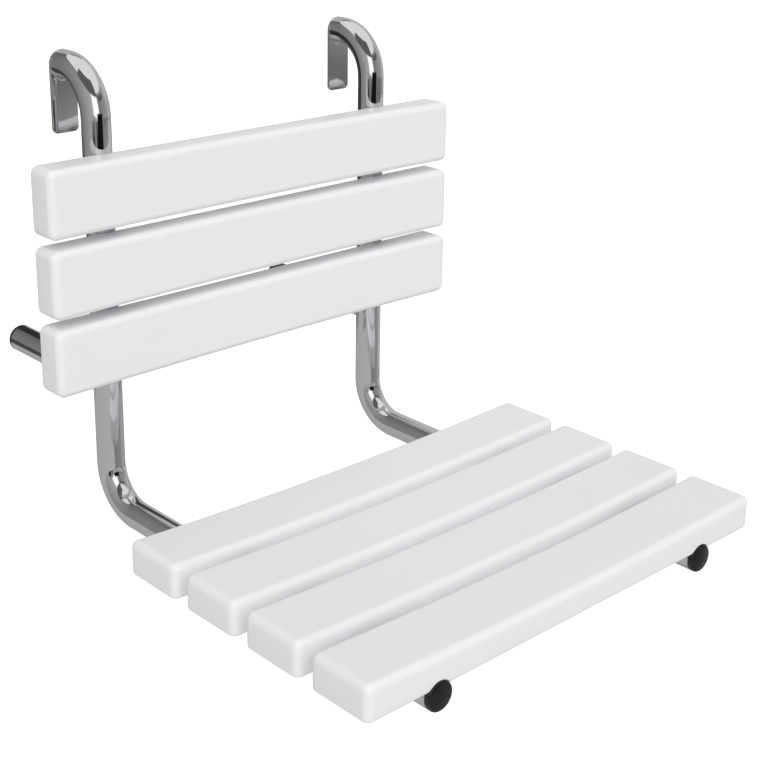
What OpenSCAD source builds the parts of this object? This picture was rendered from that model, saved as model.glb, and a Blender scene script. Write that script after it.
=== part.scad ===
// Hang-on shower seat with a slatted back: two bent tube frames hook over a
// wall rail, carry white moulded slats and stand off the wall on two struts.
// X runs along the slats, +Y points to the wall, +Z is up.
// The origin is on the axis of the rail, midway between the two hooks.

/* [Frame tubes] */
// Outer diameter of the frame tube
tube_d = 25; // [20:1:32]
// Wall thickness of the frame tube
tube_wall = 1.5; // [1:0.5:3]
// Distance between the axes of the two tubes
tube_span = 310; // [240:5:360]
// Radius of the bend between back and seat, at the axis of the tube
bend_r = 40; // [35:1:50]
// Height of the hook's top axis above the axis of the seat run
back_rise = 390; // [360:5:440]
// Length of the seat run, from the back tube's axis to the open end
seat_run = 415; // [400:5:460]

/* [Hooks] */
// Diameter of the wall rail that the hooks take
rail_d = 32; // [25:1:36]
// Clearance of the rail between the back tube and the hook plate
rail_gap = 2.5; // [1:0.5:4]
// Length of the straight end between a hook's bend and its plate
hook_tail = 7; // [4:1:10]
// Thickness of the hook plate
plate_t = 3; // [2:0.5:5]
// Height of the hook plate
plate_len = 72; // [60:1:90]
// Corner radius at the foot of the hook plate
plate_corner_r = 4.5; // [2:0.5:8]

/* [Wall struts] */
// Distance from the lowest back slat's centre down to the strut's axis
strut_drop = 41.3; // [30:0.1:50]
// Distance from the back tube's axis to the face that meets the wall
strut_reach = 148; // [100:1:180]

/* [End caps] */
// Thickness of the front cap's head
front_head_t = 6.5; // [4:0.5:10]
// Radius of the front cap's rounded rim
front_rim_r = 3; // [2:0.5:3.5]
// Thickness of the wall cap's head
wall_head_t = 3.5; // [2:0.5:6]
// Radius of the wall cap's rounded rim
wall_rim_r = 1.5; // [0.5:0.5:1.8]
// Length of a cap's stem inside the tube
stem_len = 14; // [8:1:16]
// Height of the ribs on a cap's stem
stem_rib_h = 0.8; // [0.5:0.1:1.2]

/* [Slats] */
// Length of every slat
slat_len = 450; // [420:5:480]
// Thickness of a slat at its ends
slat_t = 30; // [27:1:34]
// Depth of the hollow along the middle of a slat's face
slat_dip = 4.6; // [2:0.2:6]
// Radius of the rounded ends and corners
slat_end_r = 7; // [5:0.5:9]
// Radius of the long edges of the face
slat_face_r = 6; // [4:0.5:8]
// Radius of the long edges at the open side
slat_base_r = 3; // [2:0.5:3.5]
// Wall thickness of the moulding
slat_wall = 3.2; // [2.5:0.1:3.5]
// Width of a back slat
back_slat_w = 59; // [50:1:64]
// Gap between neighbouring back slats
back_gap = 9.2; // [6:0.1:14]
// Distance from the top back slat's centre up to the start of the hook's bend
top_drop = 56.8; // [40:0.1:64]
// Distance from the back tube's axis to the open side of the back slats
back_offset = 8.4; // [6:0.1:10]
// Width of a seat slat
seat_slat_w = 62; // [52:1:70]
// Gap between neighbouring seat slats
seat_gap = 13; // [8:0.5:18]
// Overhang of the front slat past the open end of the seat run
front_lip = 3.5; // [0:0.5:5]
// Height of the open side of the seat slats above the seat run's axis
seat_offset = 5.9; // [4:0.1:9]

/* [Ribs and bosses] */
// Thickness of the ribs inside a slat
rib_t = 2.4; // [2:0.2:3]
// Depth of the ribs' edges below the open rim
rib_recess = 2; // [1:0.5:3]
// Distance of the cross ribs from the tube's axis, at each saddle
saddle_half = 17; // [15:0.5:20]
// Number of cross ribs between the two saddles
mid_ribs = 5; // [3:2:7]
// Diameter of the screw boss
boss_d = 16; // [14:0.5:18]
// Clearance between a tube and the saddle cut for it
saddle_gap = 0.2; // [0.1:0.05:0.3]

/* [Fasteners] */
// Thread diameter of the slat screws
screw_d = 6; // [5:0.5:6]
// Depth of the threaded insert in its boss
insert_len = 12; // [8:1:12]
// Wall thickness of the threaded insert
insert_wall = 1.2; // [1:0.1:1.4]
// Diameter of the screw head
head_d = 10.5; // [10:0.5:12]
// Height of the screw head
head_h = 2.8; // [2.6:0.2:3.6]
// Size of the hexagon socket across its flats
socket_af = 4; // [3:0.5:4]
// Depth of the hexagon socket
socket_depth = 1.8; // [1.2:0.1:2]
// Diameter of the saddle washer
washer_d = 14; // [13:0.5:16]
// Thickness of the saddle washer over the tube
washer_t = 1.2; // [1:0.1:2]
// Clearance around a screw in the tube and the washer
screw_gap = 0.25; // [0.1:0.05:0.4]
// Clearance between an insert, its screw and its boss
insert_gap = 0.1; // [0.05:0.05:0.2]

/* [Hidden] */

steel = "silver";
white = "whitesmoke";
black = "#202022";
bright = "gainsboro";
yellow = "goldenrod";

// How much of the tube's curve under a saddle washer its rim takes in
wrap_share = 0.75;

// Overrun of every cut past the face that it leaves by
over = 1;
tube_r = tube_d / 2;
bore_r = tube_r - tube_wall;
rail_r = rail_d / 2;
left = -1;
right = 1;

// Distance from the back tube's axis to the inner face of the hook plate
hook_reach = tube_r + rail_d + rail_gap;
hook_bend_r = hook_reach - hook_tail;

// Where the rail seats: against the hook plates, up under the bends
bend_room = hook_bend_r - tube_r - rail_r;
rail_y = hook_reach - rail_r;
rail_z = back_rise - hook_bend_r + sqrt(pow(bend_room, 2) - pow(hook_bend_r - rail_y, 2));

// Back slats from the lowest up, hung below the hooks, and the strut under them
back_top = back_rise - hook_bend_r - top_drop;
back_heights = [for (i = [2:-1:0]) back_top - i * (back_slat_w + back_gap)];
strut_rise = back_heights[0] - strut_drop;

// Seat slats from the rear one on, set back from the open end of the tubes
seat_front = seat_slat_w / 2 - seat_run - front_lip;
seat_depths = [for (i = [3:-1:0]) seat_front + i * (seat_slat_w + seat_gap)];

// Section of the rounded bar that both the slats and their cavities follow
round_steps = 6;
base_steps = 3;
end_steps = 5;
dish_steps = 10;
core_corner_r = 1.5;

// How far the face sinks below its ends at a distance x from the middle
function dip_at(x, len) = slat_dip * (1 - pow(2 * x / len, 2));

// Places along the bar: fine steps round each end, coarse ones between
function stations(half, r) = concat(
    [for (i = [0:end_steps]) -half + r * (1 - cos(90 * i / end_steps))],
    [for (i = [1:dish_steps - 1]) (half - r) * (2 * i / dish_steps - 1)],
    [for (i = [end_steps:-1:0]) half - r * (1 - cos(90 * i / end_steps))]
);

// How far the section draws in at a place x near a rounded end
function draw_in(x, half, r) =
    let (past = max(0, abs(x) - (half - r)))
    r - sqrt(max(0, pow(r, 2) - pow(min(past, r), 2)));

// Quarter of a rounded corner about a centre, from one angle on
function corner(cy, cz, r, from, steps) =
    [for (i = [0:steps]) [cy + r * cos(from + 90 * i / steps), cz + r * sin(from + 90 * i / steps)]];

// Outline of the section at x, from the lower right corner round
function section(x, len, w, low, high, r_end, r_face, r_base) =
    let (
        d = draw_in(x, len / 2, r_end),
        half = w / 2 - d,
        top = high - dip_at(x, slat_len) - d,
        bottom = low + r_base * d / r_end,
        face = r_face * (1 - d / r_end / 2),
        base = r_base * (1 - d / r_end / 2)
    )
    concat(
        corner(half - base, bottom + base, base, -90, base_steps),
        corner(half - face, top - face, face, 0, round_steps),
        corner(face - half, top - face, face, 90, round_steps),
        corner(base - half, bottom + base, base, 180, base_steps)
    );

// Bar along X with rounded ends and edges and a dished upper face
module dished_bar(len, w, low, high, r_end, r_face, r_base) {
    places = stations(len / 2, r_end);
    loops = [for (x = places) section(x, len, w, low, high, r_end, r_face, r_base)];
    n = len(loops[0]);
    m = len(places);
    points = [for (i = [0:m - 1]) for (p = loops[i]) [places[i], p[0], p[1]]];
    skin = [
        for (i = [0:m - 2]) for (j = [0:n - 1])
            let (k = (j + 1) % n)
            each [
                [i * n + j, (i + 1) * n + j, (i + 1) * n + k],
                [i * n + j, (i + 1) * n + k, i * n + k]
            ]
    ];
    ends = [[for (j = [0:n - 1]) j], [for (j = [n - 1:-1:0]) (m - 1) * n + j]];
    polyhedron(points, concat(skin, ends));
}

// Ribs and screw bosses that stay in a slat's cavity
module slat_core(w) {
    rib_y = boss_d / 2;
    saddle_x = tube_span / 2;
    mid_pitch = 2 * (saddle_x - saddle_half) / (mid_ribs + 1);
    for (side = [left, right]) {
        translate([0, side * rib_y, rib_recess + slat_t / 2])
            cube([slat_len, rib_t, slat_t], center = true);
        translate([side * saddle_x, 0, rib_recess])
            cylinder(d = boss_d, h = slat_t, $fn = 48);
        for (reach = [-saddle_half, saddle_half])
            translate([side * saddle_x + reach, 0, rib_recess + slat_t / 2])
                cube([rib_t, w, slat_t], center = true);
    }
    for (i = [0:mid_ribs - 1])
        translate([(i - (mid_ribs - 1) / 2) * mid_pitch, 0, rib_recess + slat_t / 2])
            cube([rib_t, w, slat_t], center = true);
}

// One slat: open side at z = 0, face up, tubes crossing it offset below
module slat(w, offset) {
    inner_len = slat_len - 2 * slat_wall;
    inner_w = w - 2 * slat_wall;
    bore_top = tube_r + saddle_gap - offset + insert_len + 2 * insert_gap;
    color(white) difference() {
        dished_bar(slat_len, w, 0, slat_t, slat_end_r, slat_face_r, slat_base_r);
        difference() {
            dished_bar(inner_len, inner_w, -slat_wall, slat_t - slat_wall,
                slat_end_r - slat_wall, max(core_corner_r, slat_face_r - slat_wall), core_corner_r);
            slat_core(w);
        }
        for (side = [left, right])
            translate([side * tube_span / 2, 0, 0]) {
                translate([0, 0, -offset])
                    rotate([90, 0, 0])
                        cylinder(r = tube_r + saddle_gap, h = w + 2 * over, center = true, $fn = 96);
                translate([0, 0, -offset])
                    cylinder(d = screw_d + 2 * (insert_wall + insert_gap), h = bore_top + offset, $fn = 36);
            }
    }
}

// Puts the frame, drawn from the corner of its two runs, at the rail's axis
module at_rail() {
    translate([0, -rail_y, -rail_z]) children();
}

module on_side(side) {
    at_rail() translate([side * tube_span / 2, 0, 0]) children();
}

// Turns a slat drawn face up so that its face looks forwards
module face_forward() {
    rotate([90, 0, 0]) children();
}

// Round bar of the frame's whole route, or the bore inside it
module tube_route(r, ends) {
    translate([0, -seat_run - ends, 0])
        rotate([-90, 0, 0]) cylinder(r = r, h = seat_run - bend_r + ends, $fn = 64);
    translate([0, -bend_r, bend_r])
        rotate([0, 90, 0]) rotate_extrude(angle = 90, $fn = 128)
            translate([bend_r, 0]) circle(r = r, $fn = 64);
    translate([0, 0, bend_r])
        cylinder(r = r, h = back_rise - bend_r - hook_bend_r, $fn = 64);
    translate([0, hook_bend_r, back_rise - hook_bend_r])
        rotate([0, 90, 0]) rotate([0, 0, 180]) rotate_extrude(angle = 90, $fn = 128)
            translate([hook_bend_r, 0]) circle(r = r, $fn = 64);
    translate([0, hook_bend_r, back_rise])
        rotate([-90, 0, 0]) cylinder(r = r, h = hook_tail + ends, $fn = 64);
}

// Holes through both walls of the tube, one for each slat screw
module screw_holes() {
    hole_r = screw_d / 2 + screw_gap;
    for (z = back_heights)
        translate([0, 0, z])
            rotate([90, 0, 0]) cylinder(r = hole_r, h = tube_d + 2 * over, center = true, $fn = 32);
    for (y = seat_depths)
        translate([0, y, 0])
            cylinder(r = hole_r, h = tube_d + 2 * over, center = true, $fn = 32);
}

module frame_tube(side) {
    color(steel) on_side(side) difference() {
        tube_route(tube_r, 0);
        tube_route(bore_r, over);
        screw_holes();
    }
}

// Flat plate that hangs down behind the rail, its head round like the tube
module hook_plate(side) {
    foot = back_rise + tube_r - plate_len;
    color(steel) on_side(side)
        translate([0, hook_reach + plate_t, 0])
            rotate([90, 0, 0]) linear_extrude(plate_t) {
                translate([0, back_rise]) circle(r = tube_r, $fn = 64);
                translate([-tube_r, foot + plate_corner_r])
                    square([tube_d, back_rise - foot - plate_corner_r]);
                translate([plate_corner_r - tube_r, foot])
                    square([tube_d - 2 * plate_corner_r, plate_corner_r]);
                for (edge = [left, right])
                    translate([edge * (tube_r - plate_corner_r), foot + plate_corner_r])
                        circle(r = plate_corner_r, $fn = 32);
            }
}

// Tube that reaches back to the wall, its foot cut to fit round the frame
module wall_strut(side) {
    strut_len = strut_reach - wall_head_t;
    color(steel) on_side(side)
        translate([0, 0, strut_rise]) difference() {
            rotate([-90, 0, 0]) cylinder(r = tube_r, h = strut_len, $fn = 64);
            rotate([-90, 0, 0]) cylinder(r = bore_r, h = strut_len + over, $fn = 64);
            cylinder(r = tube_r, h = tube_d + 2 * over, center = true, $fn = 64);
        }
}

// Push-in cap about its own axis: rounded head above z = 0, ribbed stem below
module end_cap(head_t, rim_r) {
    core_r = bore_r - stem_rib_h;
    ribs = 3;
    rib_pitch = stem_len / (ribs + 1);
    color(black) {
        rotate_extrude($fn = 64) {
            square([tube_r, head_t - rim_r]);
            square([tube_r - rim_r, head_t]);
            translate([tube_r - rim_r, head_t - rim_r])
                intersection() {
                    circle(r = rim_r, $fn = 32);
                    square(rim_r);
                }
            translate([0, -stem_len]) square([core_r, stem_len]);
            for (i = [1:ribs])
                translate([0, -i * rib_pitch])
                    polygon([
                        [0, -rib_pitch / 2], [core_r, -rib_pitch / 2],
                        [bore_r, 0], [core_r, 0], [0, 0]
                    ]);
        }
    }
}

module front_cap(side) {
    on_side(side)
        translate([0, -seat_run, 0])
            rotate([90, 0, 0]) end_cap(front_head_t, front_rim_r);
}

module wall_cap(side) {
    on_side(side)
        translate([0, strut_reach - wall_head_t, strut_rise])
            rotate([-90, 0, 0]) end_cap(wall_head_t, wall_rim_r);
}

module back_slat(i) {
    at_rail()
        translate([0, -back_offset, back_heights[i]])
            face_forward() slat(back_slat_w, back_offset);
}

module seat_slat(i) {
    at_rail()
        translate([0, seat_depths[i], seat_offset]) slat(seat_slat_w, seat_offset);
}

// Screw about its own axis: z = 0 on the tube's axis, thread up, head below
module slat_screw() {
    seat_z = -tube_r - washer_t;
    tip_z = tube_r + saddle_gap + insert_len;
    color(bright) difference() {
        union() {
            translate([0, 0, seat_z]) cylinder(d = screw_d, h = tip_z - seat_z, $fn = 32);
            translate([0, 0, seat_z - head_h]) cylinder(d = head_d, h = head_h, $fn = 32);
        }
        translate([0, 0, seat_z - head_h - over])
            cylinder(d = socket_af / cos(30), h = socket_depth + over, $fn = 6);
    }
}

// Washer whose upper side is hollowed to lie round the tube
module saddle_washer() {
    sag = tube_r - sqrt(pow(tube_r, 2) - pow(washer_d / 2, 2));
    color(bright) difference() {
        translate([0, 0, -tube_r - washer_t])
            cylinder(d = washer_d, h = washer_t + wrap_share * sag, $fn = 48);
        rotate([90, 0, 0]) cylinder(r = tube_r, h = washer_d + 2 * over, center = true, $fn = 64);
        translate([0, 0, -tube_r - washer_t - over])
            cylinder(r = screw_d / 2 + screw_gap, h = tube_r + over, $fn = 32);
    }
}

// Threaded sleeve moulded into the boss above the tube
module threaded_insert() {
    color(yellow)
        translate([0, 0, tube_r + saddle_gap]) difference() {
            cylinder(d = screw_d + 2 * insert_wall, h = insert_len, $fn = 32);
            translate([0, 0, -over])
                cylinder(d = screw_d + 2 * insert_gap, h = insert_len + 2 * over, $fn = 32);
        }
}

// Copies a fastener to every back slat, its thread pointing forwards
module at_back_screws() {
    for (side = [left, right]) on_side(side)
        for (z = back_heights) translate([0, 0, z]) rotate([90, 0, 0]) children();
}

// Copies a fastener to every seat slat, its thread pointing up
module at_seat_screws() {
    for (side = [left, right]) on_side(side)
        for (y = seat_depths) translate([0, y, 0]) children();
}

module back_screws() { at_back_screws() slat_screw(); }
module back_washers() { at_back_screws() saddle_washer(); }
module back_inserts() { at_back_screws() threaded_insert(); }
module seat_screws() { at_seat_screws() slat_screw(); }
module seat_washers() { at_seat_screws() saddle_washer(); }
module seat_inserts() { at_seat_screws() threaded_insert(); }

frame_tube(left);  // frame_tube_left
frame_tube(right);  // frame_tube_right
hook_plate(left);  // hook_plate_left
hook_plate(right);  // hook_plate_right
wall_strut(left);  // wall_strut_left
wall_strut(right);  // wall_strut_right
wall_cap(left);  // wall_cap_left
wall_cap(right);  // wall_cap_right
front_cap(left);  // front_cap_left
front_cap(right);  // front_cap_right
back_slat(2);  // back_slat_top
back_slat(1);  // back_slat_middle
back_slat(0);  // back_slat_bottom
seat_slat(0);  // seat_slat_rear
seat_slat(1);  // seat_slat_mid_rear
seat_slat(2);  // seat_slat_mid_front
seat_slat(3);  // seat_slat_front
back_screws();
back_washers();
back_inserts();
seat_screws();
seat_washers();
seat_inserts();
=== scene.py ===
import math

import bpy
import numpy as np
from mathutils import Matrix, Vector


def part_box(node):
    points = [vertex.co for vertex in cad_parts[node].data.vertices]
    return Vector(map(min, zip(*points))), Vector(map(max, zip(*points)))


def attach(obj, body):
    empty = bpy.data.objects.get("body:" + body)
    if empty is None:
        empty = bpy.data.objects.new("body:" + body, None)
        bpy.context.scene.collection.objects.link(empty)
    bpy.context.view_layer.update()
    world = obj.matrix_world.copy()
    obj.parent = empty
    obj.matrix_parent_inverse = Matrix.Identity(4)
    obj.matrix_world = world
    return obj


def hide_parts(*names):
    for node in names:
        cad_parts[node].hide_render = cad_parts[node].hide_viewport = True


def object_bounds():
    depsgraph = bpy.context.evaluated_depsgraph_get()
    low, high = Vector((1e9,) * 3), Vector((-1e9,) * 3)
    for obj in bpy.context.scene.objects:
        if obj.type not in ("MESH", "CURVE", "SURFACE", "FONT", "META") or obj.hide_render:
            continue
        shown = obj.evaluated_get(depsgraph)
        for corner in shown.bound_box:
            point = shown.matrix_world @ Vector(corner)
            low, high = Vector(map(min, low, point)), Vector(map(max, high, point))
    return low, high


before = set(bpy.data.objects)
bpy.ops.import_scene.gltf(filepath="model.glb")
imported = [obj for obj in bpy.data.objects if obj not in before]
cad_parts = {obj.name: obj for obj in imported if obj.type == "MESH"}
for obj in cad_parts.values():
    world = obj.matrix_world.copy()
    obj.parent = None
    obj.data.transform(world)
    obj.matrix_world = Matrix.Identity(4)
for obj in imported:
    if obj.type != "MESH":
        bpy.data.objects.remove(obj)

cadBox = [list(corner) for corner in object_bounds()]
scene = bpy.context.scene
print("frame loaded")

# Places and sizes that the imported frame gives, in metres
tubeLow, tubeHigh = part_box("frame_tube_left")
strutLow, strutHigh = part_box("wall_strut_left")
plateLow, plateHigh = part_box("hook_plate_left")
tubeR = (tubeHigh.x - tubeLow.x) / 2
tubeX = (tubeLow.x + tubeHigh.x) / 2        # axis of the left tube
seatZ = tubeLow.z + tubeR                   # axis of the run under the seat
hookZ = tubeHigh.z - tubeR                  # axis of the hook's level end
openY = tubeLow.y                           # open end under the front slat
plateY = tubeHigh.y                         # end of the hook, where its plate stands
backY = strutLow.y                          # axis of the run behind the back
strutZ = (strutLow.z + strutHigh.z) / 2     # axis of the strut
sides = {"left": 1, "right": -1}            # times tubeX gives the axis of each tube
pipe = {"wall": 0.0015, "around": 96}
boreR = tubeR - pipe["wall"]


class Signal:
    # Wraps one output socket; sums and products with numbers or signals add Math nodes

    def __init__(self, tree, socket):
        self.tree = tree
        self.socket = socket

    def node(self, kind, settings, inputs, output=0):
        # Any node: its settings first (a ramp's stops too), then its sockets' values or links
        made = self.tree.nodes.new("ShaderNode" + kind)
        for key, value in settings.items():
            if key == "stops":
                stops = made.color_ramp.elements
                while len(stops) < len(value):
                    stops.new(1.0)
                for stop, (place, shade) in zip(stops, value):
                    stop.position = place
                    stop.color = (shade, shade, shade, 1)
            else:
                setattr(made, key, value)
        for key, value in inputs.items():
            if isinstance(value, Signal):
                self.tree.links.new(value.socket, made.inputs[key])
            else:
                made.inputs[key].default_value = value
        return Signal(self.tree, made.outputs[output])

    def maths(self, operation, first, second=0.0):
        # One Math node on numbers or signals
        return self.node("Math", {"operation": operation}, {0: first, 1: second})

    def noise(self, scale, detail):
        # Noise about 1/2 that reads this signal as its coordinates
        return self.node("TexNoise", {}, {"Vector": self, "Scale": scale, "Detail": detail}, "Fac")

    def colours(self, low, high):
        # Colour that goes from low to high as this signal goes from 0 to 1
        return self.node("Mix", {"data_type": "RGBA"},
                         {"Factor": self, 6: (*low, 1), 7: (*high, 1)}, 2)

    def bump(self, depth):
        # Normal of a surface that stands out by this signal times the depth in metres
        return self.node("Bump", {}, {"Height": self, "Distance": depth})

    def __add__(self, other):
        return self.maths("ADD", self, other)

    def __sub__(self, other):
        return self.maths("SUBTRACT", self, other)

    def __rsub__(self, other):
        return self.maths("SUBTRACT", other, self)

    def __mul__(self, other):
        return self.maths("MULTIPLY", self, other)

    __radd__ = __add__
    __rmul__ = __mul__


def sources(tree, kind, *outputs):
    # Signals of a node that needs no input, one for each output named
    first = Signal(tree, None).node(kind, {}, {}, outputs[0])
    return [Signal(tree, first.socket.node.outputs[name]) for name in outputs]


def newMaterial(name):
    # A material with a node tree, and the tree
    material = bpy.data.materials.new(name)
    material.use_nodes = True
    return material, material.node_tree


def newFinish(name, metallic, specular=0.5):
    # A material, its Principled shader, and signals of the object coordinates and the UV map
    finish, tree = newMaterial(name)
    shader = tree.nodes["Principled BSDF"]
    shader.inputs["Metallic"].default_value = metallic
    shader.inputs["Specular IOR Level"].default_value = specular
    return finish, shader, *sources(tree, "TexCoord", "Object", "UV")


def feed(shader, **inputs):
    # Links signals to the shader's sockets, named without spaces
    for key, signal in inputs.items():
        socket = next(s for s in shader.inputs if s.name.replace(" ", "") == key)
        signal.tree.links.new(signal.socket, socket)


def varied(centre, *patterns):
    # A value that varies about its centre: the centre plus each spread * (pattern - 1/2)
    value = centre - sum(spread for pattern, spread in patterns) / 2
    for pattern, spread in patterns:
        value = pattern * spread + value
    return value


chrome = {"colour": (0.65, 0.655, 0.665), "edgeTint": (0.86, 0.86, 0.87), "roughness": 0.0575,
          "hazeScale": 22.0, "hazeDetail": 4.0, "hazeSpread": 0.05,
          "lineScale": (14.0, 2600.0, 1.0), "lineDetail": 3.0, "lineSpread": 0.025,
          "lineDepth": 0.0000004}


def chromeFinish():
    # Mirror polish with a faint haze, and fine lines along the tube
    finish, shader, place, uv = newFinish("polishedChrome", 1.0)
    shader.inputs["Base Color"].default_value = (*chrome["colour"], 1)
    shader.inputs["Specular Tint"].default_value = (*chrome["edgeTint"], 1)
    haze = place.noise(chrome["hazeScale"], chrome["hazeDetail"])
    along = uv.node("Mapping", {}, {"Vector": uv, "Scale": chrome["lineScale"]})
    lines = along.noise(1.0, chrome["lineDetail"])
    feed(shader, Normal=lines.bump(chrome["lineDepth"]),
         Roughness=varied(chrome["roughness"], (haze, chrome["hazeSpread"]),
                          (lines, chrome["lineSpread"])))
    return finish


moulding = {"pale": (0.803, 0.804, 0.818), "deep": (0.789, 0.790, 0.806), "roughness": 0.36,
            "cloudScale": 9.0, "cloudDetail": 2.0, "cloudSpread": 0.04,
            "grainScale": 1500.0, "grainDetail": 2.0, "grainSpread": 0.10, "grainDepth": 0.000012}


def mouldingFinish():
    # Satin white with faint wide clouds and a fine moulded grain
    finish, shader, place = newFinish("whiteMoulding", 0.0)[:3]
    cloud = place.noise(moulding["cloudScale"], moulding["cloudDetail"])
    grain = place.noise(moulding["grainScale"], moulding["grainDetail"])
    feed(shader, BaseColor=cloud.colours(moulding["deep"], moulding["pale"]),
         Normal=grain.bump(moulding["grainDepth"]),
         Roughness=varied(moulding["roughness"], (grain, moulding["grainSpread"]),
                          (cloud, moulding["cloudSpread"])))
    return finish


black = {"colour": (0.007, 0.007, 0.009), "worn": (0.015, 0.015, 0.017), "specular": 0.42,
         "roughness": 0.22,
         "grainScale": 2200.0, "grainDetail": 2.0, "grainSpread": 0.12, "grainDepth": 0.000004,
         "scuffScale": 120.0, "scuffDetail": 5.0, "scuffSpread": 0.10,
         "scuffStops": [(0.52, 0.0), (0.78, 1.0)]}


def capFinish():
    # Black moulding with a fine grain and small paler scuffs
    finish, shader, place = newFinish("blackCap", 0.0, black["specular"])[:3]
    grain = place.noise(black["grainScale"], black["grainDetail"])
    scuff = place.noise(black["scuffScale"], black["scuffDetail"])
    dull = place.node("ValToRGB", {"stops": black["scuffStops"]}, {"Fac": scuff})
    feed(shader, BaseColor=dull.colours(black["colour"], black["worn"]),
         Normal=grain.bump(black["grainDepth"]),
         Roughness=varied(black["roughness"], (grain, black["grainSpread"]),
                          (scuff, black["scuffSpread"])))
    return finish


steel = {"pale": (0.66, 0.66, 0.665), "deep": (0.52, 0.52, 0.53), "roughness": 0.24,
         "ringPitch": 0.00022, "ringDepth": 0.000004,
         "blotchScale": 260.0, "blotchDetail": 4.0, "blotchSpread": 0.14}


def steelFinish():
    # Turned steel: rings round the screw's axis, sin(2 pi distance / pitch), and dull blotches
    finish, shader, place, uv = newFinish("turnedSteel", 1.0)
    distance = uv.node("SeparateXYZ", {}, {0: uv}, "Y")
    rings = uv.maths("SINE", distance * (2 * math.pi / steel["ringPitch"]))
    blotch = place.noise(steel["blotchScale"], steel["blotchDetail"])
    feed(shader, BaseColor=blotch.colours(steel["deep"], steel["pale"]),
         Normal=rings.bump(steel["ringDepth"]),
         Roughness=varied(steel["roughness"], (blotch, steel["blotchSpread"])))
    return finish


brass = {"pale": (0.72, 0.55, 0.25), "deep": (0.55, 0.38, 0.14), "roughness": 0.33,
         "knurlScale": 1400.0, "knurlBend": 0.4, "knurlSpread": 0.10, "knurlDepth": 0.0001}


def brassFinish():
    # Knurled brass: slanting bands, darker and duller between them
    finish, shader, place = newFinish("knurledBrass", 1.0)[:3]
    knurl = place.node("TexWave", {"wave_type": "BANDS", "bands_direction": "DIAGONAL"},
                       {"Vector": place, "Scale": brass["knurlScale"],
                        "Distortion": brass["knurlBend"]}, "Fac")
    feed(shader, BaseColor=knurl.colours(brass["deep"], brass["pale"]),
         Normal=knurl.bump(brass["knurlDepth"]),
         Roughness=varied(brass["roughness"], (knurl, brass["knurlSpread"])))
    return finish


# The finish of each material slot of the record
finishes = {"polished_tube": chromeFinish(), "white_moulding": mouldingFinish(),
            "black_cap": capFinish(), "bright_fastener": steelFinish(),
            "brass_insert": brassFinish()}
print("finishes made")


def lap(steps):
    # Angles of one full turn; the last is the first again
    return np.linspace(0, 2 * math.pi, steps + 1)


def join(*parts):
    # Points or map places: the parts, stretched to one shape, side by side on a last axis
    return np.stack(np.broadcast_arrays(*parts), -1)


def arc(centre, radius, start, end, steps):
    # Points of a circle's arc in a plane: centre + radius (cos, sin), angles in degrees
    turn = np.radians(np.linspace(start, end, steps + 1))
    return np.stack([centre[0] + radius * np.cos(turn), centre[1] + radius * np.sin(turn)], 1)


def gridCells(rows, columns):
    # The four corners of each cell of a grid, a corner's number being row * columns + column
    corner = (np.arange(rows - 1)[:, None] * columns + np.arange(columns - 1)).ravel()
    return np.stack([corner, corner + 1, corner + columns + 1, corner + columns], 1)


samePoint = 1e-7        # points that agree within this, in metres, are welded


def closedShell(grid, uv):
    # One closed surface from a grid of points: cells become faces, equal points are welded,
    # collapsed cells become triangles or go, and the sign of the volume turns the faces outwards
    flat = grid.reshape(-1, 3)
    first, merged = np.unique(np.round(flat / samePoint).astype(np.int64), axis=0,
                              return_index=True, return_inverse=True)[1:]
    merged = merged.ravel()                             # the welded point of each grid point
    cells = gridCells(*grid.shape[:2])
    same = merged[cells] == np.roll(merged[cells], -1, axis=1)      # a corner that equals the next
    quads = cells[~same.any(1)]
    triangles = np.concatenate([np.delete(cells[same[:, k] & (same.sum(1) == 1)], k, axis=1)
                                for k in range(4)])
    points = flat[first]
    volume = 0.0
    for faces in (quads[:, :3], quads[:, [0, 2, 3]], triangles):
        a, b, c = (points[merged[faces[:, k]]] for k in range(3))
        volume += np.einsum("ij,ij->i", a, np.cross(b, c)).sum()
    if volume < 0:
        quads, triangles = quads[:, ::-1], triangles[:, ::-1]
    return points, merged, quads, triangles, uv.reshape(-1, 2)


def newObject(name, points, faces, corners, material):
    # A mesh object; corners are the places on the map of the faces' corners, in their order
    mesh = bpy.data.meshes.new(name)
    mesh.from_pydata(points, [], faces)
    layer = mesh.uv_layers.new(name="surface")
    layer.data.foreach_set("uv", corners.astype(np.float32).ravel())
    mesh.materials.append(material)
    made = bpy.data.objects.new(name, mesh)
    scene.collection.objects.link(made)
    return made


def addPiece(name, shells, slot, nodes, sharp=40.0):
    # A mesh object of closed shells [(grid, uv), ...], with its finish, body and replaced nodes;
    # an edge that turns by more degrees than sharp stays crisp
    points, faces, corners, total = [], [], [], 0
    for grid, uv in shells:
        shell, merged, quads, triangles, places = closedShell(grid, uv)
        points.append(shell)
        faces += (merged[quads] + total).tolist() + (merged[triangles] + total).tolist()
        corners += [places[quads.ravel()], places[triangles.ravel()]]
        total += len(shell)
    piece = newObject(name, np.concatenate(points), faces, np.concatenate(corners), finishes[slot])
    piece.data.shade_smooth()
    piece.data.set_sharp_from_angle(angle=math.radians(sharp))
    piece.data.update()
    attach(piece, "root")
    if nodes:
        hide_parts(*nodes)


frameTube = {"bend": 0.040, "bendSteps": 40, "edge": 0.0003}


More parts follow.
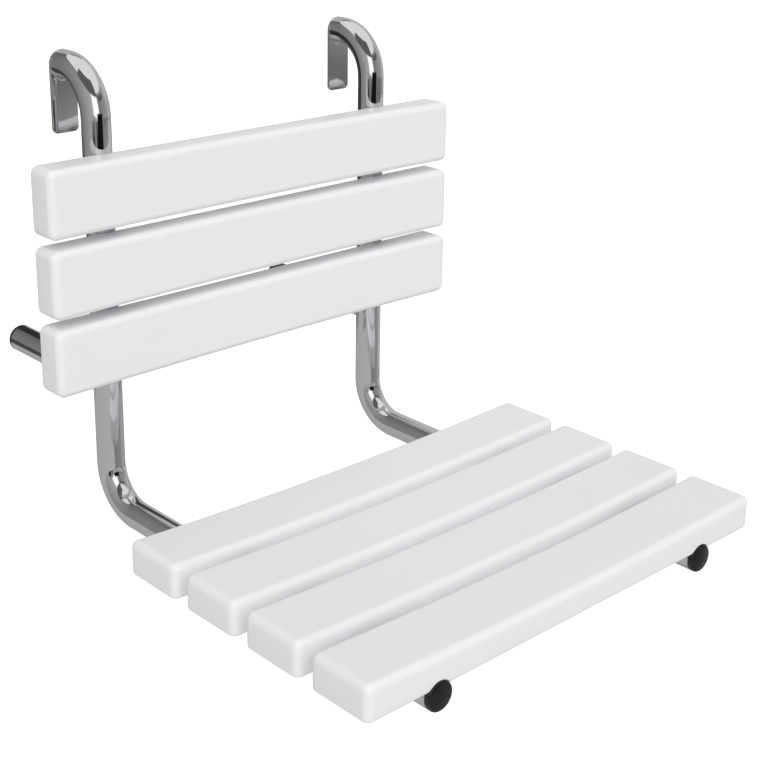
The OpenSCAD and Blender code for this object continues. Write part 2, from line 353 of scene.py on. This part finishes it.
def bentRoute(corners, radius, steps):
    # Straight runs joined by arcs: each arc starts radius * tan(turn / 2) before its corner
    places = [np.array([corners[0]])]
    for before, corner, after in zip(corners, corners[1:], corners[2:]):
        into = (corner - before) / np.linalg.norm(corner - before)
        out = (after - corner) / np.linalg.norm(after - corner)
        turn = math.acos(float(into @ out))
        start = corner - into * radius * math.tan(turn / 2)
        inward = (out - into * (into @ out)) / math.sin(turn)
        swing = np.linspace(0, turn, steps + 1)[:, None]
        places.append(start + radius * (np.sin(swing) * into + (1 - np.cos(swing)) * inward))
    places.append(np.array([corners[-1]]))
    return np.concatenate(places)


def pipeShell(x, route, outer, inner, edge):
    # Tube along a route in the plane of y and z: a circle in the plane across the route's
    # direction, outer wall out, end face, inner wall back, other end face
    run = np.diff(route, axis=0)
    step = np.linalg.norm(run, axis=1)
    length = np.concatenate([[0], np.cumsum(step)])
    run /= step[:, None]
    ahead = np.concatenate([run[:1], run[:-1] + run[1:], run[-1:]])
    ahead /= np.linalg.norm(ahead, axis=1)[:, None]
    body = np.arange(len(route))
    last = body[-1]
    index = np.concatenate([body, [last, last], body[::-1], [0, 0]])
    radius = np.concatenate([np.full(len(body), outer), [outer - edge, inner],
                             np.full(len(body), inner), [outer - edge, outer]])
    shift = np.zeros(len(index))
    shift[0] = shift[-1] = edge
    shift[last] = -edge
    centre = route[index] + ahead[index] * shift[:, None]
    around = lap(pipe["around"])
    across = np.stack([-ahead[index, 1], ahead[index, 0]], 1)
    grid = np.empty((len(index), len(around), 3))
    grid[..., 0] = x + radius[:, None] * np.cos(around)
    grid[..., 1:] = (centre[:, None]
                     + (radius[:, None] * np.sin(around))[..., None] * across[:, None])
    return grid, join(length[index][:, None], around * outer)


route = bentRoute(np.array([[openY, seatZ], [backY, seatZ], [backY, hookZ], [plateY, hookZ]]),
                  frameTube["bend"], frameTube["bendSteps"])
for side, sign in sides.items():
    addPiece("frameTube_" + side,
             [pipeShell(tubeX * sign, route, tubeR, boreR, frameTube["edge"])],
             "polished_tube", ["frame_tube_" + side])

hookPlate = {"footR": 0.0045, "rim": 0.0007, "headSteps": 32, "footSteps": 8, "rimSteps": 5}


def plateShell(x):
    # Flat plate: a half circle over straight sides and rounded foot corners, its outline drawn in
    # by the rim's radius at both faces, which close on the middle line
    footR, rimR = hookPlate["footR"], hookPlate["rim"]
    low, reach = plateLow.z + footR, tubeR - footR
    head = arc((0, hookZ), tubeR, 0, 180, hookPlate["headSteps"])
    leftFoot = arc((-reach, low), footR, 180, 270, hookPlate["footSteps"])
    rightFoot = arc((reach, low), footR, -90, 0, hookPlate["footSteps"])
    outline = np.concatenate([head, leftFoot, rightFoot, head[:1]])
    out = np.concatenate([(head - (0, hookZ)) / tubeR, (leftFoot - (-reach, low)) / footR,
                          (rightFoot - (reach, low)) / footR, [[1, 0]]])
    rim = arc((0, 0), rimR, 0, 90, hookPlate["rimSteps"])       # (how far out, how far forwards)
    inset = rimR - np.concatenate([rim[::-1, 0], rim[:, 0]])
    depth = np.concatenate([plateLow.y + rimR - rim[::-1, 1], plateHigh.y - rimR + rim[:, 1]])
    rings = outline[None] - inset[:, None, None] * out[None]
    rings = np.concatenate([rings[:1] * (0, 1), rings, rings[-1:] * (0, 1)])
    depth = np.concatenate([depth[:1], depth, depth[-1:]])
    return join(x + rings[..., 0], depth[:, None], rings[..., 1]), rings[..., ::-1].copy()


for side, sign in sides.items():
    addPiece("hookPlate_" + side, [plateShell(tubeX * sign)], "polished_tube",
             ["hook_plate_" + side])

strut = {"edge": 0.0003}


def strutShell(x):
    # Straight tube whose foot follows the frame tube: at the angle a round the strut its wall of
    # radius r starts sqrt(R^2 - (r cos a)^2) behind the frame tube's axis
    around = lap(pipe["around"])
    end, edge = strutHigh.y, strut["edge"]
    radius = np.array([tubeR, tubeR, tubeR - edge, boreR, boreR, tubeR])[:, None]
    foot = np.sqrt(np.maximum(tubeR ** 2 - (radius * np.cos(around)) ** 2, 0)) + backY
    atFoot = np.array([True, False, False, False, True, True])[:, None]
    y = np.where(atFoot, foot, np.array([end, end - edge, end, end, end, end])[:, None])
    grid = join(x + radius * np.cos(around), y, strutZ + radius * np.sin(around))
    return grid, join(y, around * tubeR)


weld = {"size": 0.0022, "steps": 6, "bury": 0.2}        # bury: share of the size let into the tubes


def filletCurve(size):
    # Hollow quarter circle of the size given, as distances from the joint along one surface and
    # along the other: 1 - sine and 1 - cosine, then one point in the metal and the first again
    turn = np.linspace(0, math.pi / 2, weld["steps"] + 1)[:, None]
    along = np.concatenate([1 - np.sin(turn), [[-weld["bury"]]], [[1]]]) * size
    aside = np.concatenate([1 - np.cos(turn), [[-weld["bury"]]], [[0]]]) * size
    return along, aside


def strutWeldShell(x):
    # Hollow fillet round the strut's foot: from a curve on the strut to one on the frame tube,
    # each size * |sin a| away from the joint
    around = lap(pipe["around"])
    rise = np.sin(around)
    along, aside = filletCurve(weld["size"] * np.abs(rise))
    grid = join(x + tubeR * np.cos(around), backY + tubeR * np.abs(rise) + along,
                strutZ + tubeR * rise + np.sign(rise) * aside)
    return grid, join(along, around * tubeR)


def hookWeldShell(x):
    # The same fillet between the underside of the hook's end and its plate, over the lower half
    around = np.linspace(math.pi, 2 * math.pi, pipe["around"] // 2 + 1)
    along, aside = filletCurve(weld["size"] * np.abs(np.sin(around)))
    grid = join(x + tubeR * np.cos(around), plateY - along,
                hookZ + tubeR * np.sin(around) - aside)
    return grid, join(along, around * tubeR)


for side, sign in sides.items():
    addPiece("wallStrut_" + side, [strutShell(tubeX * sign)], "polished_tube",
             ["wall_strut_" + side])
    addPiece("frameWelds_" + side, [strutWeldShell(tubeX * sign), hookWeldShell(tubeX * sign)],
             "polished_tube", [])
print("tube frame made")


def turned(radius, height, centre, axis, turn):
    # Points of a turned shape: centre + radius (cos, sin) across the axis + height along it
    axis = np.array(axis, float)
    side = np.cross(axis, [1.0, 0, 0])
    spoke = np.cos(turn)[:, None] * [1.0, 0, 0] + np.sin(turn)[:, None] * side
    return np.array(centre) + radius[..., None] * spoke + height[..., None] * axis


def latheShell(profile, centre, axis, around, width=None):
    # Turned shape from a profile of (radius, height); width(radii, angles) may change the radii
    turn = lap(around)
    radius = profile[:, :1] if width is None else width(profile[:, 0], turn)
    return turned(radius, profile[:, 1:], centre, axis, turn), join(turn * tubeR, profile[:, :1])


stem = {"length": 0.014, "rib": 0.0008, "ribs": 3, "lead": 0.0006, "play": 0.00002}
frontCap = {"side": 0.0028, "rim": 0.0024, "domeSteps": 10}
wallCap = {"side": 0.0024, "rim": 0.0011, "domeSteps": 6}
cap = {"edge": 0.0003, "edgeSteps": 3, "rimTurn": 62.0, "rimSteps": 7, "around": 72, "sharp": 60.0}


def stemProfile():
    # Plug inside the tube: a core with saw-toothed ribs, as (radius, height), from the tip up
    core = boreR - stem["rib"]
    pitch = stem["length"] / (stem["ribs"] + 1)
    teeth = [[(core, -k * pitch - pitch / 2), (boreR - stem["play"], -k * pitch),
              (core, -k * pitch)] for k in range(stem["ribs"], 0, -1)]
    return np.array([(0, -stem["length"]), (core - stem["lead"], -stem["length"]),
                     (core, stem["lead"] - stem["length"])] + sum(teeth, []) + [(core, 0)])


def capProfile(size, head):
    # Domed head: flat side, rim of a small radius, then a shallow dome up to the head's height,
    # (head - foot) (1 - share^2) over the rim's end at each share of its radius
    collar = arc((tubeR - cap["edge"], cap["edge"]), cap["edge"], -90, 0, cap["edgeSteps"])
    rim = arc((tubeR - size["rim"], size["side"]), size["rim"], 0, cap["rimTurn"], cap["rimSteps"])
    edge, foot = rim[-1]
    share = 1 - np.linspace(0, 1, size["domeSteps"] + 1)[1:, None]
    dome = np.concatenate([edge * share, foot + (head - foot) * (1 - share ** 2)], 1)
    return np.concatenate([stemProfile(), collar, rim, dome])


for side, sign in sides.items():
    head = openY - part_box("front_cap_" + side)[0].y
    shell = latheShell(capProfile(frontCap, head), (tubeX * sign, openY, seatZ), (0, -1, 0),
                       cap["around"])
    addPiece("frontCap_" + side, [shell], "black_cap", ["front_cap_" + side], cap["sharp"])
    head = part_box("wall_cap_" + side)[1].y - strutHigh.y
    shell = latheShell(capProfile(wallCap, head), (tubeX * sign, strutHigh.y, strutZ), (0, 1, 0),
                       cap["around"])
    addPiece("wallCap_" + side, [shell], "black_cap", ["wall_cap_" + side], cap["sharp"])
print("end caps made")


# The wall of a slat and its rounded edges, its ribs and bosses, and how finely each is drawn
slat = {"thick": 0.030, "dip": 0.0046, "endR": 0.007, "faceR": 0.006, "faceMargin": 0.0004,
        "baseR": 0.003, "wall": 0.0032, "innerR": 0.0028, "saddleGap": 0.0002,
        "ribThick": 0.0024, "ribRecess": 0.0020, "ribEdge": 0.0005, "saddleHalf": 0.017,
        "midRibs": 5, "bossR": 0.008, "boreR": 0.0043, "boreDepth": 0.0122, "embed": 0.0006,
        "longPoints": 27, "widthPoints": 7, "cornerPoints": 9, "saddlePoints": 17,
        "saddleStep": 0.0001, "saddleClear": 0.002, "saddleRow": 0.0075, "saddleTop": 0.009,
        "faceShares": (0.0, 0.3, 0.6, 0.85, 1.0), "ceilingShares": (0.6, 0.0),
        "faceTurns": (90, 86, 78, 68, 56, 44, 32, 20, 9, 0), "sideShares": (0.66, 0.33),
        "basePoints": 6, "innerPoints": 5, "ribSteps": 20, "ribSaddlePoints": 15,
        "bossAround": 48, "sharp": 35.0}
saddleR = tubeR + slat["saddleGap"]


def dipAt(x, length):
    # How far the face sinks: dip (1 - (2 x / length)^2)
    return slat["dip"] * (1 - (2 * x / length) ** 2)


def saddleCut(x, offset):
    # Height that the tube's saddle cuts to: the circle round the tube's axis, offset below the rim
    past = np.minimum(np.abs(np.abs(x) - abs(tubeX)), saddleR)
    return np.sqrt(saddleR ** 2 - past ** 2) - offset


def saddleColumns(reach, points):
    # Columns across one saddle, closer together towards its rim: the tube's place plus reach
    # times the sine of even angles
    return abs(tubeX) + reach * np.sin(np.linspace(-math.pi / 2, math.pi / 2, points))


def slatRing(length, width, offset):
    # One lap round the slat's core rectangle: core points and outward directions, with the
    # saddles' columns in place of the evenly spaced ones near them
    a, b = length / 2 - slat["endR"], width / 2 - slat["endR"]
    reach = math.sqrt(saddleR ** 2 - offset ** 2)
    saddle = saddleColumns(reach, slat["saddlePoints"])
    step = slat["saddleStep"]
    saddle = np.concatenate([saddle, [saddle[0] - step, saddle[-1] + step]])
    plain = np.linspace(-a, a, slat["longPoints"])
    plain = plain[np.abs(np.abs(plain) - abs(tubeX)) > reach + slat["saddleClear"]]
    xs = np.sort(np.concatenate([plain, saddle, -saddle]))
    ys = np.linspace(-b, b, slat["widthPoints"])
    quarter = np.radians(np.linspace(0, 90, slat["cornerPoints"]))[1:-1]
    core, out = [], []
    for degrees, along, other in ((-90, xs, -b), (0, ys, a), (90, xs[::-1], b),
                                  (180, ys[::-1], -a)):
        turn = math.radians(degrees)
        line = np.stack([along, np.full(len(along), other)], 1)
        line = line if degrees in (-90, 90) else line[:, ::-1]
        normal = np.round([math.cos(turn), math.sin(turn)])
        corner = np.stack([np.cos(quarter + turn), np.sin(quarter + turn)], 1)
        core += [line, np.repeat(line[-1:], len(quarter), 0)]
        out += [np.repeat(normal[None], len(along), 0), corner]
    core, out = np.concatenate(core), np.concatenate(out)
    return np.concatenate([core, core[:1]]), np.concatenate([out, out[:1]])


def slatShell(length, width, offset):
    # Moulded slat: rings about the core rectangle, each at an inset and a height; the face's rings
    # shrink to its middle line, and so do the hollow's, so the whole wall is one closed surface.
    # The face's edge radius goes from faceR on the long sides to nearly endR on the ends, with the
    # square of how far outwards points along the slat
    core, out = slatRing(length, width, offset)
    thick, wall, baseR, innerR = (slat[key] for key in ("thick", "wall", "baseR", "innerR"))
    ceiling = thick - wall
    margin = slat["faceMargin"]
    faceR = slat["faceR"] + (slat["endR"] - margin - slat["faceR"]) * out[:, 0] ** 2
    rows = []                               # (inset, height, share of the dip, share of the width)
    for share in slat["faceShares"]:
        rows.append((faceR + margin, thick, 1, share))
    for t in np.radians(slat["faceTurns"]):
        rows.append((faceR * (1 - math.cos(t)), thick - faceR * (1 - math.sin(t)), 1, 1))
    for share in slat["sideShares"]:
        rows.append((0, baseR + (thick - faceR - baseR) * share, share, 1))
    for t in np.radians(np.linspace(0, 90, slat["basePoints"])):
        rows.append((baseR * (1 - math.cos(t)), baseR * (1 - math.sin(t)), 0, 1))
    rows += [(wall, 0, 0, 1), (wall, slat["saddleRow"], 0, 1)]
    for t in np.radians(np.linspace(0, 90, slat["innerPoints"])):
        rows.append((wall + innerR * (1 - math.cos(t)), ceiling - innerR * (1 - math.sin(t)), 1, 1))
    for share in slat["ceilingShares"]:
        rows.append((wall + innerR, ceiling, 1, share))
    inset, height, dipShare, squeeze = (
        np.array([np.broadcast_to(row[k], len(core)) for row in rows], float) for k in range(4))
    x = (core[:, 0] + (slat["endR"] - inset) * out[:, 0]) * (1 - (1 - squeeze) * width / length)
    y = (core[:, 1] + (slat["endR"] - inset) * out[:, 1]) * squeeze
    cut = np.where(height < slat["saddleTop"], saddleCut(x, offset), 0)
    return join(x, y, np.maximum(height - dipAt(x, length) * dipShare, cut)), join(x, y)


def ribShell(start, end, steps, offset, length):
    # Rib from one point to another: a narrow section with rounded lower edges, cut by the saddle
    # below and let into the ceiling above; one of several steps also gets the saddles' columns
    share = np.linspace(0, 1, steps + 1)
    spots = np.array(start) + (np.array(end) - np.array(start)) * share[:, None]
    if steps > 1:
        saddle = saddleColumns(saddleR, slat["ribSaddlePoints"])
        xs = np.sort(np.concatenate([spots[:, 0], saddle, -saddle]))
        spots = np.stack([xs, np.full(len(xs), start[1])], 1)
    ahead = (spots[-1] - spots[0]) / np.linalg.norm(spots[-1] - spots[0])
    aside = np.array([-ahead[1], ahead[0]])
    half, edge = slat["ribThick"] / 2, slat["ribEdge"]
    across = np.array([-half, -half, -half + edge, half - edge, half, half, -half])
    low = np.maximum(slat["ribRecess"], saddleCut(spots[:, 0], offset))[:, None]
    high = (slat["thick"] - slat["wall"] + slat["embed"] - dipAt(spots[:, 0], length))[:, None]
    lift = np.array([1, 0, 0, 0, 0, 1, 1])
    nick = np.array([0, edge, 0, 0, edge, 0, 0])
    z = low + nick + (high - low) * lift
    xy = spots[:, None] + across[None, :, None] * aside
    grid = np.concatenate([xy, z[..., None]], -1)
    ends = [np.repeat(grid[k:k + 1].mean(1, keepdims=True), grid.shape[1], 1) for k in (0, -1)]
    grid = np.concatenate([ends[0], grid, ends[1]])
    return grid, grid[..., :2].copy()


def bossShell(x, offset, length):
    # Screw boss: blind bore for the insert, lower face hollowed by the saddle, let into the ceiling
    floor = saddleR - offset + slat["boreDepth"]
    roof = slat["thick"] - slat["wall"] + slat["embed"] - float(dipAt(x, length))
    radius = np.array([0, slat["boreR"], slat["boreR"], slat["bossR"], slat["bossR"], 0])[:, None]
    height = np.array([floor, floor, 0, 0, roof, roof])[:, None]
    turn = lap(slat["bossAround"])
    px, py = x + radius * np.cos(turn), radius * np.sin(turn)
    pz = np.maximum(height, np.maximum(slat["ribRecess"], saddleCut(px, offset)))
    return join(px, py, pz), join(px, py)


def slatShells(length, width, offset):
    # The wall, two long ribs, the cross ribs and the two bosses of one slat, drawn face up
    shells = [slatShell(length, width, offset)]
    endX = length / 2 - slat["wall"] + slat["embed"]
    sideY = width / 2 - slat["wall"] + slat["embed"]
    for y in (-slat["bossR"], slat["bossR"]):
        shells.append(ribShell((-endX, y), (endX, y), slat["ribSteps"], offset, length))
    half = slat["saddleHalf"]
    pitch = 2 * (abs(tubeX) - half) / (slat["midRibs"] + 1)
    places = [(k - (slat["midRibs"] - 1) / 2) * pitch for k in range(slat["midRibs"])]
    places += [sign * tubeX + reach for sign in sides.values() for reach in (-half, half)]
    for x in places:
        shells.append(ribShell((x, -sideY), (x, sideY), 1, offset, length))
    for sign in sides.values():
        shells.append(bossShell(sign * tubeX, offset, length))
    return shells


# The node of each slat and the piece that replaces it
slatPieces = {"back_slat_top": "backSlatTop", "back_slat_middle": "backSlatMiddle",
              "back_slat_bottom": "backSlatBottom", "seat_slat_rear": "seatSlatRear",
              "seat_slat_mid_rear": "seatSlatMidRear", "seat_slat_mid_front": "seatSlatMidFront",
              "seat_slat_front": "seatSlatFront"}
for node, name in slatPieces.items():
    low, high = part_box(node)
    length = high.x - low.x
    if node.startswith("seat"):
        shells = slatShells(length, high.y - low.y, low.z - seatZ)
        shells = [(grid + (0, (low.y + high.y) / 2, low.z), uv) for grid, uv in shells]
    else:
        shells = slatShells(length, high.z - low.z, backY - high.y)
        shells = [(grid[..., [0, 2, 1]] * (1, -1, 1) + (0, high.y, (low.z + high.z) / 2), uv)
                  for grid, uv in shells]
    addPiece(name, shells, "white_moulding", [node], slat["sharp"])
print("slats made")


screw = {"shankR": 0.0030, "headR": 0.00525, "headH": 0.0028, "edge": 0.00045, "edgeMiddle": 0.3,
         "flats": 0.0040, "socketDepth": 0.0018, "socketCone": 0.0004, "socketEdge": 0.0002,
         "insertDepth": 0.0120, "tipEdge": 0.0006, "around": 48, "sharp": 30.0}
washer = {"radius": 0.0070, "thick": 0.0012, "wrap": 0.75, "holeR": 0.00325, "edge": 0.00025,
          "hollowR": (0.0055, 0.0044), "around": 72, "sharp": 30.0}


def socketWidth(radius, turn):
    # Radius of a hexagon at an angle: half its flats over the cosine of the angle to the nearest
    # flat; only rows marked by a negative radius are hexagonal
    sector = math.pi / 3
    hexagon = 1 / np.cos((turn + sector / 2) % sector - sector / 2)
    return np.where(radius[:, None] < 0, -radius[:, None] * hexagon,
                    np.maximum(radius[:, None], 0))


def screwProfile():
    # Socket floor, hexagon wall, head, shank and chamfered tip; heights above the tube's axis
    seat = -tubeR - washer["thick"]
    base = seat - screw["headH"]
    floor = base + screw["socketDepth"]
    tip = saddleR + screw["insertDepth"]
    half, headR, shankR = screw["flats"] / 2, screw["headR"], screw["shankR"]
    edge, mouth, lead = screw["edge"], screw["socketEdge"], screw["tipEdge"]
    bevel = edge * screw["edgeMiddle"]
    return np.array([(0, floor + screw["socketCone"]), (-half, floor), (-half, base + mouth),
                     (-half - mouth, base), (headR - edge, base), (headR - bevel, base + bevel),
                     (headR, base + edge), (headR, seat), (shankR, seat), (shankR, tip - lead),
                     (shankR - lead, tip), (0, tip)])


def washerShell(centre, axis):
    # Disc round the screw, its upper side hollowed to the tube: height is the lower of the rim's
    # height and -sqrt(R^2 - s^2), with s the distance from the tube's middle plane
    outer, hole, edge = washer["radius"], washer["holeR"], washer["edge"]
    low = -tubeR - washer["thick"]
    rim = -tubeR + washer["wrap"] * (tubeR - math.sqrt(tubeR ** 2 - outer ** 2))
    radius = np.array([hole, outer - edge, outer, outer, outer - edge, *washer["hollowR"],
                       hole, hole])[:, None]
    height = np.array([low, low, low + edge, rim - edge, rim, rim, rim, rim, low])[:, None]
    upper = np.array([0, 0, 0, 1, 1, 1, 1, 1, 0], bool)[:, None]
    turn = lap(washer["around"])
    hollow = -np.sqrt(tubeR ** 2 - (radius * np.cos(turn)) ** 2)
    height = np.where(upper, np.minimum(height, hollow), height)
    return turned(radius, height, centre, axis, turn), join(turn * tubeR, radius)


def middle(node, axis):
    # Middle of a node's box along one axis
    low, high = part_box(node)
    return (low[axis] + high[axis]) / 2


# Where each screw's axis meets its tube's axis, and which way the screw points
backSpots = [((sign * tubeX, backY, middle(node, 2)), (0, -1, 0)) for sign in sides.values()
             for node in slatPieces if node.startswith("back")]
seatSpots = [((sign * tubeX, middle(node, 1), seatZ), (0, 0, 1)) for sign in sides.values()
             for node in slatPieces if node.startswith("seat")]
for run, spots in (("back", backSpots), ("seat", seatSpots)):
    addPiece(run + "SlatScrews",
             [latheShell(screwProfile(), centre, axis, screw["around"], socketWidth)
              for centre, axis in spots], "bright_fastener", [run + "_screws"], screw["sharp"])
    addPiece(run + "SlatWashers", [washerShell(centre, axis) for centre, axis in spots],
             "bright_fastener", [run + "_washers"], washer["sharp"])
    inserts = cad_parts[run + "_inserts"]
    if not inserts.material_slots:
        inserts.data.materials.append(None)
    for held in inserts.material_slots:
        held.material = finishes["brass_insert"]
print("fasteners made")


camera = {"place": (-0.83741, -1.11437, 0.26372), "azimuth": -43.3117, "elevation": 17.9761,
          "roll": 0.8962, "focal": 1535.05, "across": 779, "down": 760, "middleDown": 280.0,
          "sensor": 36.0, "near": 0.05, "far": 50.0}


def setCamera():
    # Pinhole of the fitted photograph: focal length and image middle in pixels of its frame
    data = bpy.data.cameras.new("photoCamera")
    data.sensor_width = camera["sensor"]
    data.lens = camera["focal"] * camera["sensor"] / camera["across"]
    data.shift_y = (camera["middleDown"] - camera["down"] / 2) / camera["across"]
    data.clip_start, data.clip_end = camera["near"], camera["far"]
    az, el, roll = (math.radians(camera[key]) for key in ("azimuth", "elevation", "roll"))
    back = Vector((math.sin(az) * math.cos(el), -math.cos(az) * math.cos(el), math.sin(el)))
    level = Vector((math.cos(az), math.sin(az), 0))
    upright = back.cross(level)
    right = level * math.cos(roll) + upright * math.sin(roll)
    up = upright * math.cos(roll) - level * math.sin(roll)
    seen = bpy.data.objects.new("photoCamera", data)
    turn = Matrix((right, up, back)).transposed().to_4x4()
    seen.matrix_world = Matrix.Translation(camera["place"]) @ turn
    scene.collection.objects.link(seen)
    scene.camera = seen


studio = {"floorDrop": 0.45, "floorHalf": 30.0, "floorColour": 0.80, "floorWhite": 0.50,
          "ambient": 0.565, "cardDistance": 1.5, "cardStep": 0.004, "cardColumns": 25,
          "cardHole": 0.01, "softAngle": 4.0, "softHeight": 0.10,
          "sunFrom": (-0.35, -0.67, 0.67), "sunLevel": 0.57, "sunSoftness": 45.0}
floorZ = cadBox[0][2] - studio["floorDrop"]


def backgroundRays(tree):
    # 1 for camera, glossy and transmission rays, 0 for the others
    seen, glossy, through = sources(tree, "LightPath", "Is Camera Ray", "Is Glossy Ray",
                                    "Is Transmission Ray")
    return seen.maths("MAXIMUM", seen.maths("MAXIMUM", seen, glossy), through)


def setWorld():
    # White to the rays that see the background, and the ambient level to those that light things
    world = bpy.data.worlds.new("studio")
    scene.world = world
    world.use_nodes = True
    tree = world.node_tree
    shown = tree.nodes["Background"]
    shown.inputs["Color"].default_value = (1, 1, 1, 1)
    level = backgroundRays(tree) * (1 - studio["ambient"]) + studio["ambient"]
    tree.links.new(level.socket, shown.inputs["Strength"])


def stageMesh(name, grid, material):
    # Stage surface from one open grid, its UV map from 0 to 1 along the columns and the rows
    rows, columns = grid.shape[:2]
    cells = gridCells(rows, columns)
    share = join(np.linspace(0, 1, columns), np.linspace(0, 1, rows)[:, None]).reshape(-1, 2)
    made = newObject(name, grid.reshape(-1, 3), cells.tolist(), share[cells.ravel()], material)
    return made


def setFloor():
    # Matt pale floor that takes the object's shadow and shows white as the world does
    material, tree = newMaterial("paleFloor")
    shader = tree.nodes["Principled BSDF"]
    shader.inputs["Base Color"].default_value = (*[studio["floorColour"]] * 3, 1)
    shader.inputs["Roughness"].default_value = 1.0
    shader.inputs["Specular IOR Level"].default_value = 0.0
    shader.inputs["Emission Color"].default_value = (1, 1, 1, 1)
    glow = backgroundRays(tree) * studio["floorWhite"]
    tree.links.new(glow.socket, shader.inputs["Emission Strength"])
    reach = np.linspace(-studio["floorHalf"], studio["floorHalf"], 3)
    stageMesh("floor", join(reach, reach[:, None], floorZ), material)


# Cards round the object that only gloss and polish see. Each has: from and to which angle off the
# camera's direction, to its right, in degrees; from and to which height above the floor, in metres;
# how bright it is at its first and at its last angle; whether its edges are soft; its share of the
# cards' distance. One that starts at height 0 also covers the floor's sector, and each card stands
# a little nearer than the one before it.
cards = {
    "floorLeft": (-180, 40, 0.0, 0.30, 0.50, 0.60, False, 1),
    "floorRight": (40, 105, 0.0, 0.30, 0.28, 0.34, False, 1),
    "floorBack": (105, 180, 0.0, 0.30, 0.44, 0.48, False, 1),
    "wallBack": (-180, -135, 0.28, 2.3, 0.62, 0.58, False, 1),
    "wallLeft": (-135, 28, 0.28, 2.3, 0.15, 0.69, False, 1),
    "wallRight": (28, 122, 0.28, 2.05, 0.24, 0.45, False, 1),
    "wallFar": (120, 180, 0.02, 2.1, 0.62, 0.68, False, 1),
    "overhang": (-66, 40, 1.72, 4.2, 0.14, 0.14, True, 1),
    "window": (-11, 35, 0.66, 1.84, 1.50, 1.50, True, 1),
    "sill": (-24, 3, 0.54, 0.80, 0.36, 0.36, True, 1),
    "darkLeft": (-29, 24, 0.22, 0.60, 0.01, 0.01, True, 1),
    "slot": (-11, 7, 0.30, 0.64, 0.36, 0.26, True, 1),
    "darkRight": (14, 60, 0.22, 0.94, 0.004, 0.012, True, 1),
    "darkCorner": (-160, -98, 0.05, 0.54, 0.06, 0.08, True, 1),
    "darkBack": (-180, -118, 0.61, 0.85, 0.12, 0.02, True, 0.38),
    "darkFar": (58, 108, 0.43, 0.66, 0.20, 0.20, True, 1),
    "darkLine": (104, 150, 0.49, 0.62, 0.12, 0.12, True, 1),
    "darkHigh": (46, 96, 1.44, 1.86, 0.13, 0.13, True, 1),
    "darkTop": (-180, -146, 2.08, 2.50, 0.18, 0.18, True, 1),
}


def cardMaterial(name, first, last, softAcross, softUp):
    # Emission that goes evenly from one brightness to the other along the card; a soft card gets
    # clearer towards its four edges, over the given shares of its length and height
    material, tree = newMaterial(name)
    tree.nodes.remove(tree.nodes["Principled BSDF"])
    uv = sources(tree, "TexCoord", "UV")[0]
    across, up = (uv.node("SeparateXYZ", {}, {0: uv}, axis) for axis in ("X", "Y"))
    light = uv.node("Emission", {}, {"Color": (1, 1, 1, 1),
                                     "Strength": across * (last - first) + first})
    if softUp:
        solid = 1.0
        for share, soft in ((across, softAcross), (up, softUp)):
            for nearness in (share, 1 - share):
                solid = uv.node("Math", {"operation": "MULTIPLY", "use_clamp": True},
                                {0: nearness, 1: 1 / soft}) * solid
        clear = uv.node("BsdfTransparent", {}, {})
        light = uv.node("MixShader", {}, {"Fac": solid, 1: clear, 2: light})
    tree.links.new(light.socket, tree.nodes["Material Output"].inputs["Surface"])
    return material


def setCards():
    # A card is a strip of a cylinder round the object, with a sector of the floor if it starts at 0
    centre = Vector(cadBox[0]).lerp(Vector(cadBox[1]), 0.5)
    facing = math.radians(camera["azimuth"] - 90)
    for rank, (name, (start, end, low, high, first, last, soft, near)) in enumerate(cards.items()):
        turn = facing + np.radians(np.linspace(start, end, studio["cardColumns"]))
        far = studio["cardDistance"] * near - studio["cardStep"] * rank
        reach, height = np.array([far, far]), np.array([low, high])
        if low == 0:
            reach = np.array([studio["cardHole"], far, far])
            height = np.array([0, 0, high]) + studio["cardStep"]
        grid = join(centre.x + reach[:, None] * np.cos(turn),
                    centre.y + reach[:, None] * np.sin(turn), floorZ + height[:, None])
        softAcross = soft * studio["softAngle"] / (end - start)
        softUp = soft * studio["softHeight"] * near / (high - low)
        card = stageMesh("card_" + name, grid,
                         cardMaterial("card_" + name, first, last, softAcross, softUp))
        card.visible_camera = card.visible_diffuse = card.visible_shadow = False
        card.visible_transmission = False


def setLamp():
    # One wide soft light from the front and above; a white surface square to it gains sunLevel
    data = bpy.data.lights.new("softLight", "SUN")
    data.angle = math.radians(studio["sunSoftness"])
    data.energy = math.pi * studio["sunLevel"]
    lamp = bpy.data.objects.new("softLight", data)
    lamp.rotation_euler = Vector(studio["sunFrom"]).to_track_quat("Z", "Y").to_euler()
    scene.collection.objects.link(lamp)
    lamp.visible_glossy = False


setCamera()
setWorld()
setFloor()
setCards()
setLamp()
scene.view_settings.view_transform = "Standard"
print("studio made")
